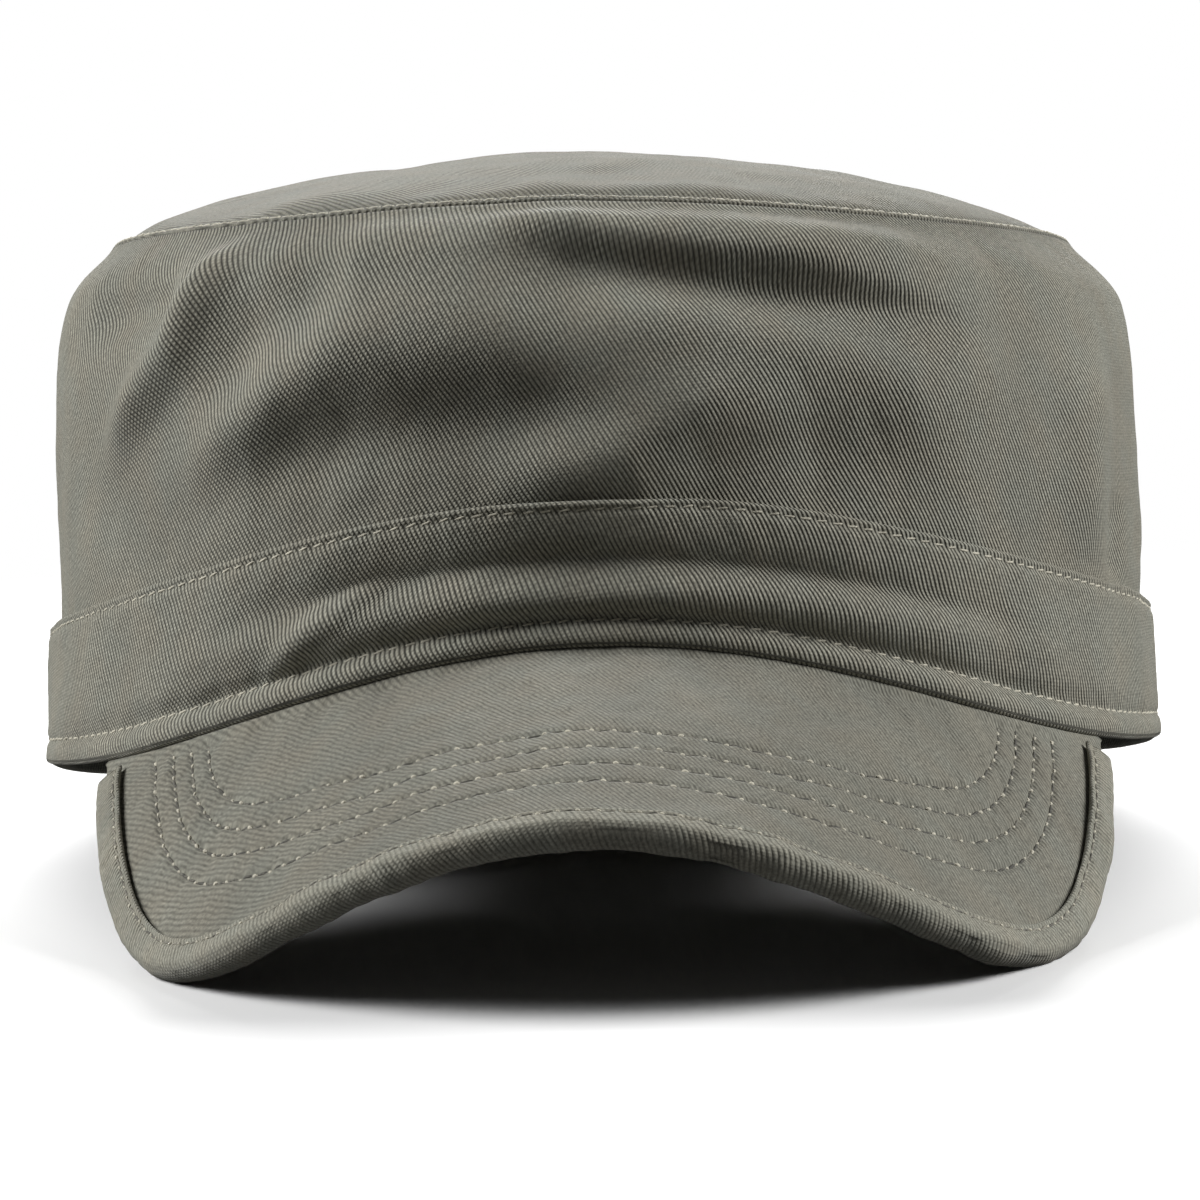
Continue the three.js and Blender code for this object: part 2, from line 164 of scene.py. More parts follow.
TOP_MIDDLE = plain_wall(np.arange(4) * math.pi / 2, np.full(4, 2.0)).mean(0)


def plain_body(turn, climb):
    """The block: the wall up to the top seam, then the dome."""
    point = plain_wall(turn, np.minimum(climb, 2))
    inward = np.clip(climb - 2, 0, 1)[..., None]
    point = point + (TOP_MIDDLE - point) * inward
    point[..., 2] += DOME_RISE * (1 - (1 - inward[..., 0]) ** 2)
    point[..., 2] -= point[..., 0] * math.tan(CROWN_LEAN) * smoothstep(climb, 1, 2)
    return point


def unit(vectors):
    return vectors / np.linalg.norm(vectors, axis=-1, keepdims=True)


def outward_of(surface, turn, climb, turn_step, climb_step):
    along = surface(turn + turn_step, climb) - surface(turn - turn_step, climb)
    up = surface(turn, climb + climb_step) - surface(turn, climb - climb_step)
    return unit(np.cross(along, up))


# %% [markdown]
# ## Folds
#
# A worn cap keeps its folds. Each one is a line over three places on the cloth, with a breadth and a
# push outwards or inwards. The solid model has much the same folds, a little softer. The one below
# the top seam is different: there the cloth rolls over itself, and only this script shows that, as
# a step. A cloth simulation could make folds too, but not where the real cap has them. Soft
# bell-shaped ridges along drawn lines can.

# %% Folds
FOLD_DEPTH, FOLD_BREADTH, TOP_FADE_SHARE = 4, 10, 0.3
SEAM_HOLD, SEAM_GIVE = 3, 0.3
FOLD_FADE = 0.3  # a fold rises and dies away over this share of its length
# Each row: turn in degrees and climb, three times, then breadth and push as shares.
FOLDS = [
    (-8, 1.86, 15, 1.74, 39, 1.65, 0.6, -0.3),
    (0, 1.96, 22, 1.89, 44, 1.83, 0.5, 0.4),
    (-30, 1.9, -14, 1.93, 4, 1.93, 0.6, 0.5),
    (-3, 1.68, 16, 1.6, 34, 1.5, 0.6, 0.4),
    (-40, 1.93, -46, 1.63, -59, 1.39, 0.42, 0.95),
    (-47, 1.82, -54, 1.79, -66, 1.78, 0.45, -0.8),
    (-24, 1.8, -35, 1.68, -42, 1.47, 0.65, -0.6),
    (-20, 1.63, -31, 1.48, -46, 1.28, 0.6, 0.75),
    (-36, 1.27, -17, 1.3, 3, 1.28, 0.65, -0.7),
    (-26, 1.5, -15, 1.58, -3, 1.56, 0.9, 0.4),
    (-12, 1.06, 3, 1.15, 20, 1.45, 0.6, 0.6),
    (4, 1.04, 15, 1.16, 30, 1.23, 0.7, -0.45),
    (46, 1.66, 37, 1.49, 28, 1.3, 0.7, 0.4),
    (62, 1.68, 60, 1.37, 59, 1.04, 0.7, 0.45),
    (68, 1.27, 67, 1.12, 67, 1, 0.4, -0.3),
    (-92, 1.6, -104, 1.4, -118, 1.3, 1, -0.5),
    (96, 1.7, 108, 1.45, 120, 1.35, 1, -0.5),
    (158, 1.62, 180, 1.5, 203, 1.56, 1, -0.55),
    (150, 1.3, 175, 1.24, 200, 1.32, 0.9, 0.45),
    (-80, 0.06, 0, 0.08, 80, 0.06, 0.2, 0.15),
    (-75, 0.2, 0, 0.2, 75, 0.2, 0.16, -0.3),
    (-46, 0.46, -2, 0.34, 50, 0.46, 0.22, 0.32),
    (-38, 0.63, 2, 0.58, 42, 0.59, 0.29, -0.46),
    (-34, 0.24, -28, 0.42, -20, 0.62, 0.16, 0.25),
]
# The front crease is no bell but a step: the cloth above it rolls over the cloth below.
FRONT_CREASE = (-13, 1.885, 12, 1.8, 43, 1.69)
STEP_BREADTH, STEP_DEPTH, ROLL_REACH, SLOPE_REACH = 1.2, 2.9, 8, 13
STEP_START, STEP_END = 0.25, 0.4  # the shares of its length over which it grows and dies away


def bell(distance, breadth):
    return np.exp(-((distance / breadth) ** 2))


def beside_line(line, turn, climb):
    """How far points on the cloth lie from a line over three places, and where along it, 0 to 1."""
    degrees, climbs = np.radians(line[0:6:2]), np.array(line[1:6:2])
    laps = np.round((degrees[1] - turn) / (2 * math.pi)) * 2 * math.pi
    here = np.stack([(turn + laps) * MEAN_RADIUS, wall_height(turn, np.minimum(climb, 2))], -1)
    stations = np.stack([degrees * MEAN_RADIUS, wall_height(degrees, climbs)], -1)
    nearest, place = np.full(here.shape[:-1], np.inf), np.zeros(here.shape[:-1])
    above = np.zeros(here.shape[:-1])
    for k, (start, end) in enumerate(zip(stations[:-1], stations[1:])):
        run, way = end - start, here - start
        share = np.clip(way @ run / (run @ run), 0, 1)
        distance = np.linalg.norm(way - share[..., None] * run, axis=-1)
        closer = distance < nearest
        place = np.where(closer, (k + share) / 2, place)
        above = np.where(closer, run[0] * way[..., 1] - run[1] * way[..., 0], above)
        nearest = np.minimum(nearest, distance)
    return nearest, np.sign(above), place


print("folds: %d, and one crease" % len(FOLDS))


def fading(place):
    return smoothstep(place, -FOLD_FADE / 3, FOLD_FADE) * smoothstep(1 - place, -FOLD_FADE / 3, FOLD_FADE)


def fold_profile(fold, turn, climb):
    """The bell-shaped height of one fold: 1 on its line, and 0 well beside it."""
    distance, _, place = beside_line(fold, turn, climb)
    return bell(distance, fold[6] * FOLD_BREADTH) * fading(place)


def step_profile(turn, climb):
    """The front crease: out above its line, in below it."""
    distance, side, place = beside_line(FRONT_CREASE, turn, climb)
    reach = np.where(side > 0, ROLL_REACH, SLOPE_REACH)
    ends = smoothstep(place, 0, STEP_START) * smoothstep(1 - place, 0, STEP_END)
    return side * np.tanh(distance / STEP_BREADTH) * bell(distance, reach) * ends


def fold_push(turn, climb):
    fade = 1 - np.clip((climb - 2) / TOP_FADE_SHARE, 0, 1)
    crown = wall_height(turn, np.full(turn.shape, 2.0)) - BAND_HEIGHT
    held = 1 - (1 - SEAM_GIVE) * bell((climb - 2) * crown, SEAM_HOLD)  # the seam is stiff
    folds = sum(fold[7] * FOLD_DEPTH * fold_profile(fold, turn, climb) for fold in FOLDS)
    return held * fade**2 * (folds + STEP_DEPTH * step_profile(turn, climb))


def folded_body(turn, climb):
    outward = outward_of(plain_body, turn, climb, 0.01, 0.01)
    outward[..., 2] *= np.clip(climb, 0, 1)
    return plain_body(turn, climb) + outward * fold_push(turn, climb)[..., None]


def beside_body(turn, climb, distance):
    """The point at a distance outside the folded block."""
    turn, climb, distance = np.broadcast_arrays(np.asarray(turn, float), climb, distance)
    outward = outward_of(folded_body, turn, climb, 0.03, np.minimum(0.06, (3 - climb) / 2))
    outward[..., 2] *= np.minimum(climb, 1)
    outward /= np.linalg.norm(outward, axis=-1, keepdims=True)
    return folded_body(turn, climb) + outward * distance[..., None]


# %% [markdown]
# ## Unevenness
#
# Washed cotton is never even. A random relief could come from a noise texture, but then seams and
# threads couldn't follow it. So it is a sum of waves whose directions and lengths are drawn once
# from a seeded generator: the same every time, and the same for every piece that asks.

# %% Unevenness
def unevenness(u, v, wavelength, seed, lap=None, waves=28):
    """A random relief of about one unit. With a lap, it repeats after that length of u."""
    draw = np.random.default_rng(seed)
    total = np.zeros(np.broadcast(u, v).shape)
    for _ in range(waves):
        heading = draw.uniform(0, math.pi)
        number = 2 * math.pi / (wavelength * draw.uniform(0.7, 1.5))
        along = number * math.cos(heading)
        if lap:
            along = round(along * lap / (2 * math.pi)) * 2 * math.pi / lap
        total += np.cos(along * u + number * math.sin(heading) * v + draw.uniform(0, 2 * math.pi))
    return total / math.sqrt(waves / 2)


# %% [markdown]
# ## From points to meshes
#
# Every piece of cloth is a closed skin: a row of points goes up its outside, over its edge and down
# its inside, and such rows stand side by side all the way round. One helper turns them into a mesh.
# It also stores where each corner lies on the flat cloth, in millimetres, for the weave, and how far
# the cloth stands proud there, for the wear.

# %% Mesh helpers
def into_model(points):
    return (points - np.array([0, MIDDLE_Y, 0])) * MM


def skin(name, points, cloth, relief, closed=True, poles=()):
    """A mesh from rows of points. The rows are closed loops, or they end in poles, one at each end."""
    rows, count = points.shape[:2]
    spans = rows if closed else rows - 1
    i, j = np.meshgrid(np.arange(spans), np.arange(count if not len(poles) else count - 1), indexing="ij")
    i2, j2 = (i + 1) % rows, (j + 1) % count
    faces = np.stack([i * count + j, i2 * count + j, i2 * count + j2, i * count + j2], -1).reshape(-1, 4)
    uv = np.stack([cloth[i, j], cloth[i + 1, j], cloth[i + 1, j2], cloth[i, j2]], -2).reshape(-1, 2)
    verts, reliefs = points.reshape(-1, 3), relief.reshape(-1)
    faces, uv = faces.tolist(), [uv]
    if len(poles):
        verts = np.vstack([verts, poles])
        reliefs = np.append(reliefs, [0, 0])
        k = np.arange(rows)
        for pole, column in ((0, 0), (1, count - 1)):
            here, after = k * count + column, (k + 1) % rows * count + column
            order = [here, after] if pole else [after, here]
            tip = np.full(rows, rows * count + pole)
            faces += np.stack([*order, tip], -1).tolist()
            ends = [cloth[k, column], cloth[k + 1, column]]
            middle = np.broadcast_to(cloth[:-1, column].mean(0), (rows, 2))
            uv.append(np.stack([*(ends if pole else ends[::-1]), middle], -2).reshape(-1, 2))
    elif not closed:
        faces.append(list(range(count))[::-1])
        faces.append(list(range((rows - 1) * count, rows * count)))
        uv += [cloth[0, ::-1], cloth[rows - 1]]
    mesh = bpy.data.meshes.new(name)
    mesh.from_pydata(into_model(verts).tolist(), [], faces)
    mesh.uv_layers.new(name="cloth").data.foreach_set("uv", np.vstack(uv).ravel())
    mesh.attributes.new("relief", "FLOAT", "POINT").data.foreach_set("value", reliefs.astype(np.float32))
    mesh.polygons.foreach_set("use_smooth", [True] * len(mesh.polygons))
    mesh.update()
    piece = bpy.data.objects.new(name, mesh)
    bpy.context.scene.collection.objects.link(piece)
    print("%s: %d faces" % (name, len(faces)))
    return piece


def head_turns(count, crowding=0.35):
    even = np.arange(count) / count * 2 * math.pi - math.pi
    return even - crowding * np.sin(even)


def laid_flat(turns, heights):
    """Where points lie on the cloth, when it is unrolled. The first column comes again at the end."""
    u = np.append(turns, turns[0] + 2 * math.pi) * MEAN_RADIUS
    v = np.vstack([heights, heights[:1]])
    return np.stack([np.broadcast_to(u[:, None], v.shape), v], -1)


# %% [markdown]
# ## Stitches
#
# A row of stitches is what makes cloth look sewn. On the real cap each stitch is a short piece of
# thread, pulled down into the cloth at both ends, and the cloth is dimpled under it. A bump texture
# could fake that, but real geometry catches the light properly. The first helper measures a line,
# the second lays one bowed piece of thread per stitch, and where it is asked to, a light knot where
# two stitches meet.

# %% Stitch helpers
def measured(points):
    return np.concatenate([[0], np.cumsum(np.linalg.norm(np.diff(points, axis=0), axis=1))])


def thread_row(path, normals, pitch, thickness=0.42, gap=0.35, seed=1, tone=0.0, knot=0.0):
    """Points and tones of a row of stitches along a path, in millimetres. A low tone paints the stitches
    near black, as painted shade of thread sunk into the cloth. With a knot, a light dot of thread of that
    size shows where two stitches meet."""
    draw = np.random.default_rng(seed)
    length = measured(path)
    count = int(length[-1] // pitch)
    stations = np.linspace(0, 1, 7)
    ring = np.arange(6) / 6 * 2 * math.pi
    made, tones = [], []
    for k in range(count):
        where = (k + gap / 2 / pitch + stations * (1 - gap / pitch)) * pitch
        where = where + draw.normal(0, 0.05)
        middle = np.stack([np.interp(where, length, path[:, c]) for c in range(3)], -1)
        normal = np.stack([np.interp(where, length, normals[:, c]) for c in range(3)], -1)
        normal /= np.linalg.norm(normal, axis=1, keepdims=True)
        along = np.gradient(middle, axis=0)
        along /= np.linalg.norm(along, axis=1, keepdims=True)
        side = np.cross(normal, along)
        bow = 1 - (2 * stations - 1) ** 4
        slant = (stations - 0.5) * draw.normal(0.3, 0.12)
        middle = middle + normal * (thickness * (-0.75 + 0.8 * bow))[:, None] + side * slant[:, None]
        swell = (0.62 + 0.38 * bow) * draw.uniform(0.9, 1.1)
        wide, high = thickness * 0.58 * swell, thickness * 0.48 * swell
        loops = (
            middle[:, None]
            + side[:, None] * (np.cos(ring)[None, :, None] * wide[:, None, None])
            + normal[:, None] * (np.sin(ring)[None, :, None] * high[:, None, None])
        )
        made.append(loops)
        tones.append(tone + draw.uniform(-0.3, 0.3))
        if knot:
            at = k * pitch + draw.normal(0, 0.08)
            middle = np.array([np.interp(at, length, path[:, c]) for c in range(3)])
            up = unit(np.array([np.interp(at, length, normals[:, c]) for c in range(3)]))
            ahead = unit(np.array([np.interp(at + 0.3, length, path[:, c]) for c in range(3)]) - middle)
            side = np.cross(up, ahead)
            size = knot * draw.uniform(0.7, 1.25)
            lean = draw.normal(0, 0.35)
            dome = np.linspace(-0.98, 0.98, 7)
            axis = unit(ahead * math.cos(lean) + side * math.sin(lean))
            across = np.cross(up, axis)
            belt = np.sqrt(1 - dome**2)
            middle = middle + up * (0.1 * size) + side * draw.normal(0, 0.06)
            loops = (
                middle
                + axis * (dome * size * 0.7)[:, None, None]
                + across * (np.cos(ring)[None, :, None] * belt[:, None, None] * size * 0.5)
                + up * (np.sin(ring)[None, :, None] * belt[:, None, None] * size * 0.42)
            )
            made.append(loops)
            tones.append(1 + draw.uniform(-0.4, 0.4))
    return np.array(made), np.array(tones)


def thread_mesh(name, rows):
    """One mesh from several rows of stitches."""
    loops = np.concatenate([row[0] for row in rows])
    tones = np.concatenate([row[1] for row in rows])
    count, stations, ring = loops.shape[:3]
    i, j = np.meshgrid(np.arange(stations - 1), np.arange(ring), indexing="ij")
    here, ahead, beside = i * ring, (i + 1) * ring, (j + 1) % ring
    quads = np.stack([here + j, ahead + j, ahead + beside, here + beside], -1)
    quads = quads.reshape(-1, 4)[:, ::-1]
    faces = []
    for k in range(count):
        first = k * stations * ring
        faces += (quads + first).tolist()
        faces.append([first + c for c in range(ring)])
        faces.append([first + (stations - 1) * ring + c for c in range(ring)][::-1])
    mesh = bpy.data.meshes.new(name)
    mesh.from_pydata(into_model(loops.reshape(-1, 3)).tolist(), [], faces)
    values = np.repeat(tones, stations * ring).astype(np.float32)
    mesh.attributes.new("tone", "FLOAT", "POINT").data.foreach_set("value", values)
    mesh.polygons.foreach_set("use_smooth", [True] * len(mesh.polygons))
    mesh.update()
    piece = bpy.data.objects.new(name, mesh)
    bpy.context.scene.collection.objects.link(piece)
    print("%s: %d stitches" % (name, count))
    return piece


def outward_along(path, aside):
    """Normals of a surface along a path, from a second path just beside it."""
    normal = np.cross(np.gradient(path, axis=0), aside - path)
    return normal / np.linalg.norm(normal, axis=1, keepdims=True)


# %% [markdown]
# ## Band
#
# The band is a strip of twill folded at both edges and sewn on with two rows of stitches, one close
# under its top edge and one above its foot. Between the rows it bulges a little, each row pulls a
# fine channel, and small puckers run across the channels, because the thread gathers the cloth.

# %% Band
BAND_TOP_ROW = BAND_HEIGHT - 1.3
BAND_FOOT_ROW = 3.8
BAND_PITCH = 2.7


def band_relief(turn, climb):
    """How far the band's outside stands out from its plain form."""
    u, v = turn * MEAN_RADIUS, climb * BAND_HEIGHT
    relief = 0.14 * unevenness(u, v, 24, 11, LAP) + 0.03 * unevenness(u, v * 1.6, 6, 12, LAP)
    for row, seed in ((BAND_TOP_ROW, 13), (BAND_FOOT_ROW, 14)):
        beside = v - row
        holes = 0.5 + 0.5 * np.cos(2 * math.pi * u / BAND_PITCH)
        relief = relief - bell(beside, 0.6) * (0.3 + 0.16 * holes)
        puckers = unevenness(u, v / 4, 3.4, seed, LAP)
        relief = relief + 0.045 * puckers * bell(beside, 2.6)
    relief = relief + 0.18 * bell(v - (BAND_FOOT_ROW - 2), 1.2)
    return relief


def rounded_strip(low, high, thick, rows_out, rows_in, start):
    """Heights and distances of a strip's profile: up its outside, over the top, down its inside."""
    radius = thick / 2
    bend = np.linspace(0, math.pi, 8)[1:-1]
    out = np.linspace(low + radius, high - radius, rows_out)
    back = np.linspace(high - radius, low + radius, rows_in)
    heights = [out, high - radius + radius * np.sin(bend), back, low + radius - radius * np.sin(bend)]
    over, under = radius + radius * np.cos(bend), radius - radius * np.cos(bend)
    distances = [np.full(rows_out, thick), over, np.zeros(rows_in), under]
    return np.concatenate(heights), np.concatenate(distances) + start


turns = head_turns(600)
heights, distances = rounded_strip(0, BAND_HEIGHT, BAND_CLOTH, 56, 12, GAP)
turn, height = np.meshgrid(turns, heights, indexing="ij")
relief = band_relief(turn, height / BAND_HEIGHT)
outside = np.clip((distances - GAP) / BAND_CLOTH, 0, 1)
points = beside_body(turn, height / BAND_HEIGHT, distances + relief * outside)
points[..., 2] = np.maximum(points[..., 2], 0)
lengths = np.concatenate([[0], np.cumsum(np.hypot(np.diff(heights), np.diff(distances)))])
band = skin("band_cloth", points, laid_flat(turns, np.broadcast_to(lengths, turn.shape)), relief * outside)
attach(band, "root")
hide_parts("band")
print("band box:", np.round(points.min((0, 1)), 1), np.round(points.max((0, 1)), 1))


# %% Band stitches
def band_point(turn, height):
    climb = height / BAND_HEIGHT
    return beside_body(turn, climb, GAP + BAND_CLOTH + band_relief(turn, climb))


ROUND_POINTS = 2400
round_turns = np.linspace(-math.pi, math.pi, ROUND_POINTS)
rows = []
for height, seed in ((BAND_TOP_ROW, 21), (BAND_FOOT_ROW, 22)):
    path = band_point(round_turns, np.full(ROUND_POINTS, float(height)))
    normals = outward_along(path, band_point(round_turns, np.full(ROUND_POINTS, height + 0.4)))
    rows.append(thread_row(path, normals, BAND_PITCH, 0.34, 0.5, seed, tone=0.9))
band_stitches = thread_mesh("band_stitches", rows)
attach(band_stitches, "root")

# %% [markdown]
# ## Crown wall
#
# The soft wall of the crown goes down behind the band and up to the top seam. It carries the folds,
# a general unevenness, and small wrinkles that start at the band and at the seam, where the
# stitching gathers the cloth. The seam draws the cloth in, which rounds the edge of the crown.

# %% Crown wall
SEAM_ROW = 0.95
SEAM_PITCH = 2.4
SEAM_DRAW, SEAM_SOFTNESS = 0.9, 4.5  # the seam is drawn in, which rounds the crown's edge


def crown_relief(turn, climb):
    u = turn * MEAN_RADIUS
    v = wall_height(turn, np.minimum(climb, 2))
    below_seam = wall_height(turn, np.full(turn.shape, 2.0)) - v
    above_band = np.maximum(v - BAND_HEIGHT, 0)
    relief = 0.22 * unevenness(u, v, 40, 31, LAP) + 0.05 * unevenness(u, v, 12, 32, LAP)
    relief = relief + 0.015 * unevenness(u, v, 4, 33, LAP)
    relief = relief + 0.06 * unevenness(u, v / 5, 6, 36, LAP) * np.exp(-above_band / 5)
    puckers = unevenness(u, v / 6, 5, 37, LAP)
    relief = relief * smoothstep(below_seam, 0.5, 7) + 0.05 * puckers * bell(below_seam - 3.5, 2.5)
    return relief - SEAM_DRAW * bell(below_seam, SEAM_SOFTNESS)


turns = head_turns(560)
hem = 1 - TUCK / BAND_HEIGHT
climbs = np.concatenate([[hem, 0.75, 0.9], np.linspace(0.97, 1.93, 84), np.linspace(1.94, 2, 9)])
inner_climbs = np.linspace(2, hem, 22)
profile = np.concatenate([climbs, inner_climbs])
turn, climb = np.meshgrid(turns, profile, indexing="ij")
outer = np.arange(len(profile)) < len(climbs)
relief = crown_relief(turn, climb) * smoothstep(climb, 0.97, 1.08) * outer
distances = np.where(outer, 0, -CROWN_CLOTH)
points = beside_body(turn, climb, distances + relief)
lengths = wall_height(turn, climb)
crown_side = skin("crown_side_cloth", points, laid_flat(turns, lengths), relief)
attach(crown_side, "root")
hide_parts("crown_side")

# %% [markdown]
# ## Top
#
# The top is an oval panel, sewn to the wall and topstitched along its edge. The allowance under the
# stitches makes a low cord there. A grid would have to be cut to an oval. A skin with two poles, one
# in the middle of its outside and one inside, follows the edge by itself.

# %% Top
top_radius = HEAD_WIDTH / 2 * section_value("wide", 2.0)


def top_relief(turn, climb):
    inset = (climb - 2) * top_radius
    x, y = (3 - climb) * np.sin(turn) * top_radius, -(3 - climb) * np.cos(turn) * top_radius
    relief = 0.3 * unevenness(x, y, 34, 41) + 0.06 * unevenness(x, y, 10, 42)
    puckers = unevenness(turn * top_radius, inset / 5, 5, 44, 2 * math.pi * top_radius)
    relief = relief * smoothstep(inset, 2, 8) + 0.05 * puckers * bell(inset - 4, 3)
    relief = relief - SEAM_DRAW * bell(inset, SEAM_SOFTNESS)
    holes = 0.5 + 0.5 * np.cos(2 * math.pi * turn * MEAN_RADIUS / SEAM_PITCH)
    cord = 0.5 * bell(inset - SEAM_ROW, 0.7)
    return relief + cord - (0.12 + 0.1 * holes) * bell(inset - SEAM_ROW, 0.3) - 0.2 * bell(inset - 2.6, 0.7)


turns = head_turns(560)
first = GAP / top_radius
climbs = 2 + np.concatenate([np.linspace(first, 0.06, 22), np.linspace(0.066, 0.985, 68)])
inner = 2 + np.linspace(first, 0.985, 16)[::-1]
profile = np.concatenate([inner, climbs])
turn, climb = np.meshgrid(turns, profile, indexing="ij")
outer = np.arange(len(profile)) >= len(inner)
relief = top_relief(turn, climb) * outer
distances = np.where(outer, 0, -TOP_CLOTH)
points = beside_body(turn, climb, distances + relief)
middle_up = outward_of(
    lambda right, back: plain_body(np.arctan2(right, -back), 3 - np.hypot(right, back)),
    np.zeros(1), np.zeros(1), 0.05, 0.05,
)[0]
middle = plain_body(np.zeros(1), np.full(1, 3.0))[0]
rise = points[:, -1].mean(0).dot(middle_up) - middle.dot(middle_up)
poles = [middle - TOP_CLOTH * middle_up, middle + rise * middle_up]
flat = points[..., :2]
crown_top = skin("crown_top_cloth", points, np.concatenate([flat, flat[:1]]), relief, poles=np.array(poles))
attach(crown_top, "root")
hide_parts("crown_top")


# %% Top stitches
def top_point(turn, climb):
    return beside_body(turn, climb, top_relief(turn, climb))


row_climb = np.full(ROUND_POINTS, 2 + SEAM_ROW / top_radius)
path = top_point(round_turns, row_climb)
normals = outward_along(path, top_point(round_turns, row_climb + 0.005))
row = thread_row(path, normals, SEAM_PITCH, 0.42, 0.4, 45, tone=0.4, knot=0.4)
top_stitches = thread_mesh("top_stitches", [row])
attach(top_stitches, "root")

# %% [markdown]
# ## Peak
#
# The peak is a stiff board between two layers of twill, quilted with four rows of stitches that
# follow its edge and draw together at the sides. It hangs from the band's foot and bends down to both
# sides. Its lines run from the foot to the edge, and a place on a line is its inset from the edge.

# %% Peak formula
PEAK_SPREAD, PEAK_REACH, PEAK_FALL, PEAK_HORN = math.radians(57), 61.5, 17.4, 1.7
PEAK_SIDE_FULLNESS, PEAK_FRONT_FULLNESS = 2.34, 2.27
PEAK_TWIST = 1.3  # the wearer's left side of the worn peak hangs a little lower than the right
TWIST_PEAK = 0.385  # the largest value of the twist's curve, which this brings to 1
PEAK_BEND, EDGE_BEND, BEND_START_SHARE, BEND_END_SHARE = 31.9, 57.865, -0.66, 0.73
TAPE_REACH, TAPE_ROUND = 5, 1.2
RIM = PEAK_BOARD / 2 + GAP + TAPE
PEAK_SINK = GAP + PEAK_BOARD / 2

foot_front, foot_back, foot_end = beside_body(np.array([0, math.pi, PEAK_SPREAD]), np.zeros(3), GAP)
HEAD_MIDDLE = (foot_front[1] + foot_back[1]) / 2
PEAK_HALF_WIDTH = foot_end[0] + PEAK_HORN


def peak_arch(x, y):
    out = (foot_front[1] - y) / PEAK_REACH
    bend = PEAK_BEND + (EDGE_BEND - PEAK_BEND) * smoothstep(out, BEND_START_SHARE, BEND_END_SHARE)
    across = np.clip(x / PEAK_HALF_WIDTH, -1, 1)
    twist = PEAK_TWIST * across * (1 - across**2) / TWIST_PEAK * np.clip(out, 0, 1)
    return foot_front[2] - PEAK_SINK - PEAK_FALL * out - bend * (x / PEAK_HALF_WIDTH) ** 2 - twist


ROOT_TURNS = np.linspace(-PEAK_SPREAD * 1.05, PEAK_SPREAD * 1.05, 1201)
ROOTS = beside_body(ROOT_TURNS, 0.0, GAP)


def peak_line(sweep, share):
    """Points on lines from the foot, share 0, to the edge, share 1."""
    side = np.abs(np.sin(sweep)) ** (2 / PEAK_SIDE_FULLNESS) * np.sign(sweep)
    ahead = np.abs(np.cos(sweep)) ** (2 / PEAK_FRONT_FULLNESS)
    edge_x = PEAK_HALF_WIDTH * side
    edge_y = foot_end[1] - (foot_end[1] - foot_front[1] + PEAK_REACH) * ahead
    bearing = np.arctan2(edge_x, HEAD_MIDDLE - edge_y)
    widest = math.atan2(PEAK_HALF_WIDTH, HEAD_MIDDLE - foot_end[1])
    root_turn = PEAK_SPREAD * bearing / widest
    root = np.stack([np.interp(root_turn, ROOT_TURNS, ROOTS[:, c]) for c in range(3)], -1)
    to_foot = root[..., 2] - PEAK_SINK - peak_arch(root[..., 0], root[..., 1])
    x = root[..., 0] + (edge_x - root[..., 0]) * share
    y = root[..., 1] + (edge_y - root[..., 1]) * share
    out = np.hypot(x - root[..., 0], y - root[..., 1]) / PEAK_REACH
    return np.stack([x, y, peak_arch(x, y) + to_foot * np.maximum(1 - out, 0) ** 2], -1)


def peak_up(sweep, share, step=0.01):
    low, high = np.maximum(sweep - step, -math.pi / 2), np.minimum(sweep + step, math.pi / 2)
    across = peak_line(high, share) - peak_line(low, share)
    inwards = peak_line(sweep, share - step) - peak_line(sweep, share + step)
    return unit(np.cross(across, inwards))


def peak_width(sweep, step=0.01):
    low, high = np.maximum(sweep - step, -math.pi / 2), np.minimum(sweep + step, math.pi / 2)
    along = unit(peak_line(high, 1.0) - peak_line(low, 1.0))
    outward = np.cross(along, peak_up(sweep, np.ones(sweep.shape)))
    return np.abs(((peak_line(sweep, 1.0) - peak_line(sweep, 0.0)) * outward).sum(-1))


def peak_point(sweep, inset, height):
    """A point at an inset from the edge and a height over the board's middle surface."""
    sweep, inset, height = np.broadcast_arrays(np.asarray(sweep, float), inset, height)
    share = 1 - inset / np.interp(sweep, SWEEP_TABLE, WIDTH_TABLE)
    return peak_line(sweep, share) + peak_up(sweep, share) * height[..., None]


HALFWAY = 360
SWEEP_TABLE = np.linspace(-math.pi / 2, math.pi / 2, 2 * HALFWAY + 1)
WIDTH_TABLE = peak_width(SWEEP_TABLE)
EDGE_LENGTH_TABLE = measured(peak_line(SWEEP_TABLE, 1.0))
EDGE_LENGTH_TABLE -= EDGE_LENGTH_TABLE[HALFWAY]
print("peak: %.1f mm from the band to the edge" % WIDTH_TABLE[HALFWAY])

# %% Peak rows
PEAK_ROWS = (34.3, 28.7, 23.1, 17.2)  # insets of the stitch rows in the middle
ROW_DRAW = 0.66  # what is left of those insets at the sides
PEAK_PITCH = 3.35


def row_inset(row, sweep):
    return row * (1 - (1 - ROW_DRAW) * smoothstep(np.abs(sweep), math.radians(35), math.radians(72)))


ROW_PATHS = [peak_point(SWEEP_TABLE, row_inset(row, SWEEP_TABLE), PEAK_BOARD / 2) for row in PEAK_ROWS]
ROW_LENGTHS = [measured(path) - measured(path)[HALFWAY] for path in ROW_PATHS]


